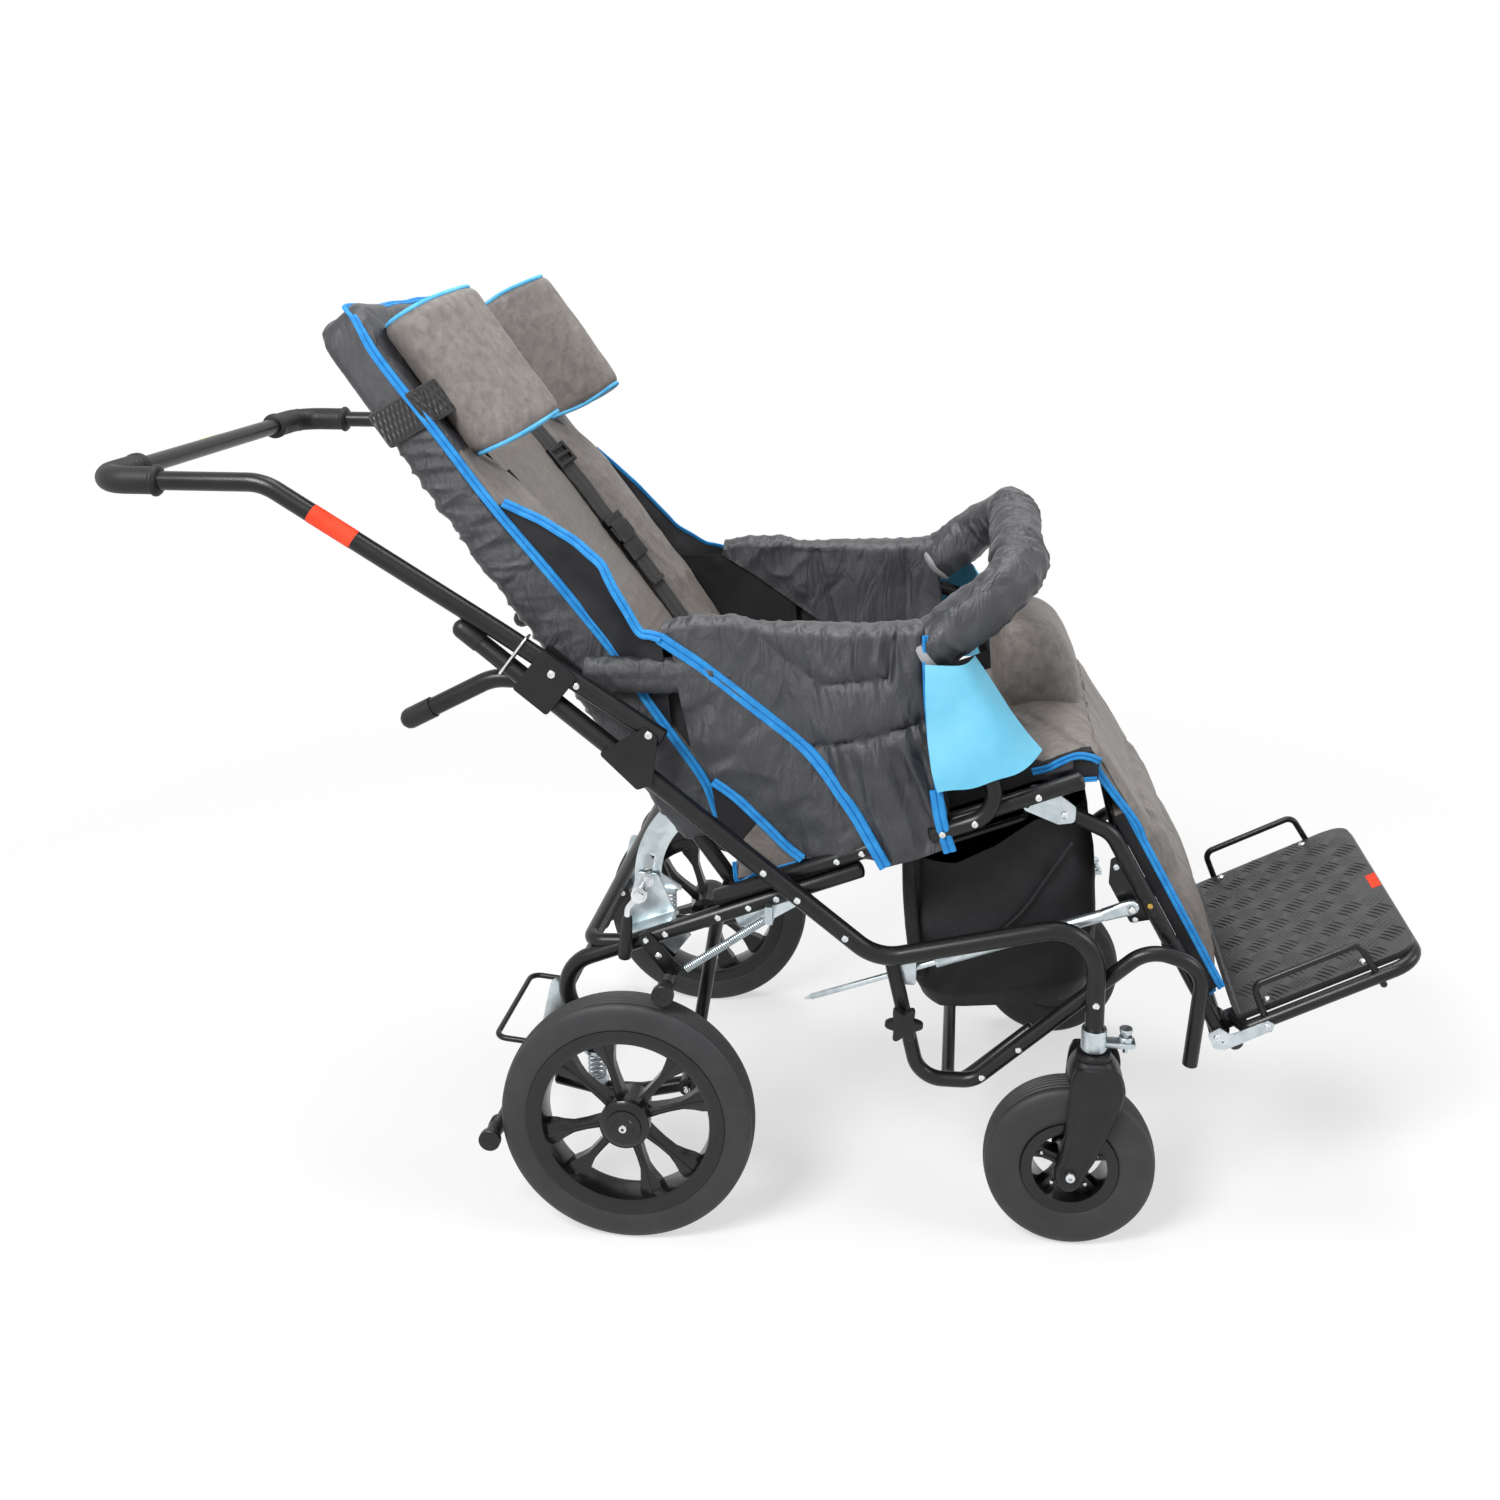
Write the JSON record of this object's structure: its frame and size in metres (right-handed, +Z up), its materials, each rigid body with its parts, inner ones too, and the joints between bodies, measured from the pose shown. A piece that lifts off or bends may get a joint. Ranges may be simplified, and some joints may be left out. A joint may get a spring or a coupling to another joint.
{
  "type": "special needs stroller",
  "caption": "Special needs stroller: tilted padded seat, reclining back, legrest with flip-up footplate, folding push handle, swivel castors, sprung rear wheels and pedal brake.",
  "frame": {"origin": "centre of the bounding box on the floor", "axes": "+X to the front (footplate), +Y to the occupant's left, +Z up"},
  "size_m": [1.5338, 0.62, 1.1214],
  "materials": {
    "black_enamel": "satin",
    "black_plastic": "moulded",
    "tyre_rubber": "matt",
    "grip_rubber": "ribbed",
    "zinc_plate": "zinc plated",
    "brass": "plain",
    "charcoal_nylon": "woven",
    "taupe_velour": "napped",
    "black_webbing": "woven",
    "tread_plate": "chequered"
  },
  "bodies": {
    "chassis": {"lower_cross_tube": "black_enamel", "rear_chassis": "black_enamel", "seat_frame": "black_enamel", "seat_cushion": "taupe_velour", "basket": "charcoal_nylon", "main_tube_right": "black_enamel", "lower_tube_right": "black_enamel", "handle_plate_right": "black_enamel", "armrest_tube_right": "black_enamel", "side_panel_right": "charcoal_nylon", "suspension_spring_right": "zinc_plate", "brake_spring_right": "zinc_plate", "main_tube_left": "black_enamel", "lower_tube_left": "black_enamel", "handle_plate_left": "black_enamel", "armrest_tube_left": "black_enamel", "side_panel_left": "charcoal_nylon", "suspension_spring_left": "zinc_plate", "brake_spring_left": "zinc_plate"},
    "handle": {"push_handle": "black_enamel", "handle_grip_right": "grip_rubber", "handle_grip_left": "grip_rubber"},
    "backrest": {"backrest_frame": "black_enamel", "back_pad": "taupe_velour", "harness": "black_webbing", "head_wing_right": "taupe_velour", "recline_sector_right": "zinc_plate", "head_wing_left": "taupe_velour", "recline_sector_left": "zinc_plate"},
    "recline_lever": {"recline_lever": "black_plastic"},
    "legrest": {"legrest_frame": "black_enamel", "calf_pad": "taupe_velour"},
    "strut": {"legrest_strut": "zinc_plate"},
    "star_knob": {"star_knob": "black_plastic"},
    "footrest": {"footrest_frame": "black_enamel"},
    "length_button": {"length_button": "brass"},
    "footplate": {"footplate": "tread_plate", "footplate_frame": "black_enamel"},
    "pedal": {"brake_pedal_bar": "black_enamel"},
    "front_bar": {"front_bar": "charcoal_nylon"},
    "lock_bail_right": {"lock_bail_right": "zinc_plate"},
    "castor_right": {"castor_fork_right": "black_plastic"},
    "front_wheel_right": {"front_tyre_right": "tyre_rubber", "front_rim_right": "black_plastic"},
    "swivel_lock_right": {"swivel_lock_right": "zinc_plate"},
    "swing_right": {"swing_arm_right": "black_enamel"},
    "rear_wheel_right": {"rear_tyre_right": "tyre_rubber", "rear_rim_right": "black_plastic"},
    "brake_lever_right": {"brake_lever_right": "black_enamel"},
    "lock_bail_left": {"lock_bail_left": "zinc_plate"},
    "castor_left": {"castor_fork_left": "black_plastic"},
    "front_wheel_left": {"front_tyre_left": "tyre_rubber", "front_rim_left": "black_plastic"},
    "swivel_lock_left": {"swivel_lock_left": "zinc_plate"},
    "swing_left": {"swing_arm_left": "black_enamel"},
    "rear_wheel_left": {"rear_tyre_left": "tyre_rubber", "rear_rim_left": "black_plastic"},
    "brake_lever_left": {"brake_lever_left": "black_enamel"}
  },
  "joints": [
    {"name": "handle_fold", "type": "hinge", "parent": "chassis", "child": "handle", "pos_m": [-0.1222, 0, 0.6118], "axis": [0, 1, 0], "range_deg": [0, 95]},
    {"name": "lock_bail_right_slide", "type": "slide", "parent": "handle", "child": "lock_bail_right", "axis": [-0.8384, 0, 0.5451], "range_m": [0, 0.025]},
    {"name": "lock_bail_left_slide", "type": "slide", "parent": "handle", "child": "lock_bail_left", "axis": [-0.8384, 0, 0.5451], "range_m": [0, 0.025]},
    {"name": "backrest_recline", "type": "hinge", "parent": "chassis", "child": "backrest", "pos_m": [-0.0342, 0, 0.408], "axis": [0, -1, 0], "range_deg": [-8, 12]},
    {"name": "recline_lever_turn", "type": "hinge", "parent": "chassis", "child": "recline_lever", "pos_m": [-0.1422, -0.2, 0.408], "axis": [0, 1, 0], "range_deg": [0, 60]},
    {"name": "legrest_angle", "type": "hinge", "parent": "chassis", "child": "legrest", "pos_m": [0.3488, 0, 0.511], "axis": [0, -1, 0], "range_deg": [-8, 35]},
    {"name": "strut_pivot", "type": "hinge", "parent": "legrest", "child": "strut", "pos_m": [0.4283, -0.201, 0.4005], "axis": [0, -1, 0], "range_deg": [-30, 8]},
    {"name": "star_knob_turn", "type": "hinge", "parent": "chassis", "child": "star_knob", "pos_m": [0.1683, -0.2175, 0.258], "axis": [0, 1, 0], "range_deg": [0, 270]},
    {"name": "legrest_length", "type": "slide", "parent": "legrest", "child": "footrest", "axis": [0.4787, 0, -0.878], "range_m": [0, 0.07]},
    {"name": "length_button_press", "type": "slide", "parent": "legrest", "child": "length_button", "axis": [0, 1, 0], "range_m": [0, 0.0025], "stiffness_N_per_m": 400, "springref_m": -0.001},
    {"name": "footplate_flip", "type": "hinge", "parent": "footrest", "child": "footplate", "pos_m": [0.54023, 0, 0.23637], "axis": [0, -1, 0], "range_deg": [0, 44]},
    {"name": "castor_right_swivel", "type": "hinge", "parent": "chassis", "child": "castor_right", "pos_m": [0.3878, -0.238, 0.2425], "axis": [0, 0, 1], "continuous": true},
    {"name": "front_wheel_right_spin", "type": "hinge", "parent": "castor_right", "child": "front_wheel_right", "pos_m": [0.363, -0.238, 0.1], "axis": [0, 1, 0], "continuous": true},
    {"name": "swivel_lock_right_lift", "type": "slide", "parent": "chassis", "child": "swivel_lock_right", "axis": [0, 0, 1], "range_m": [0, 0.008]},
    {"name": "suspension_right", "type": "hinge", "parent": "chassis", "child": "swing_right", "pos_m": [-0.0902, -0.2255, 0.161], "axis": [0, 1, 0], "range_deg": [0, 3], "stiffness_Nm_per_rad": 60, "springref_deg": -8.59, "deforming": ["suspension_spring_right"]},
    {"name": "rear_wheel_right_spin", "type": "hinge", "parent": "swing_right", "child": "rear_wheel_right", "pos_m": [-0.1522, -0.28, 0.15], "axis": [0, 1, 0], "continuous": true},
    {"name": "castor_left_swivel", "type": "hinge", "parent": "chassis", "child": "castor_left", "pos_m": [0.3878, 0.238, 0.2425], "axis": [0, 0, 1], "continuous": true},
    {"name": "front_wheel_left_spin", "type": "hinge", "parent": "castor_left", "child": "front_wheel_left", "pos_m": [0.363, 0.238, 0.1], "axis": [0, 1, 0], "continuous": true},
    {"name": "swivel_lock_left_lift", "type": "slide", "parent": "chassis", "child": "swivel_lock_left", "axis": [0, 0, 1], "range_m": [0, 0.008]},
    {"name": "suspension_left", "type": "hinge", "parent": "chassis", "child": "swing_left", "pos_m": [-0.0902, 0.2255, 0.161], "axis": [0, 1, 0], "range_deg": [0, 3], "stiffness_Nm_per_rad": 60, "springref_deg": -8.59, "deforming": ["suspension_spring_left"]},
    {"name": "rear_wheel_left_spin", "type": "hinge", "parent": "swing_left", "child": "rear_wheel_left", "pos_m": [-0.1522, 0.28, 0.15], "axis": [0, 1, 0], "continuous": true},
    {"name": "pedal_brake", "type": "hinge", "parent": "chassis", "child": "pedal", "pos_m": [-0.2642, 0, 0.205], "axis": [0, 1, 0], "range_deg": [0, 10]},
    {"name": "brake_lever_right_turn", "type": "hinge", "parent": "chassis", "child": "brake_lever_right", "pos_m": [-0.1347, -0.24, 0.3525], "axis": [0, -1, 0], "range_deg": [0, 9], "deforming": ["brake_spring_right"]},
    {"name": "brake_lever_left_turn", "type": "hinge", "parent": "chassis", "child": "brake_lever_left", "pos_m": [-0.1347, 0.24, 0.3525], "axis": [0, -1, 0], "range_deg": [0, 9], "deforming": ["brake_spring_left"]},
    {"name": "front_bar_pull", "type": "slide", "parent": "chassis", "child": "front_bar", "axis": [0.7536, 0, 0.6574], "range_m": [0, 0.045]}
  ],
  "couplings": [
    {"joint": "strut_pivot", "follows": "legrest_angle", "ratio": -0.79},
    {"joint": "brake_lever_right_turn", "follows": "pedal_brake", "ratio": 0.8},
    {"joint": "brake_lever_left_turn", "follows": "pedal_brake", "ratio": 0.8}
  ]
}
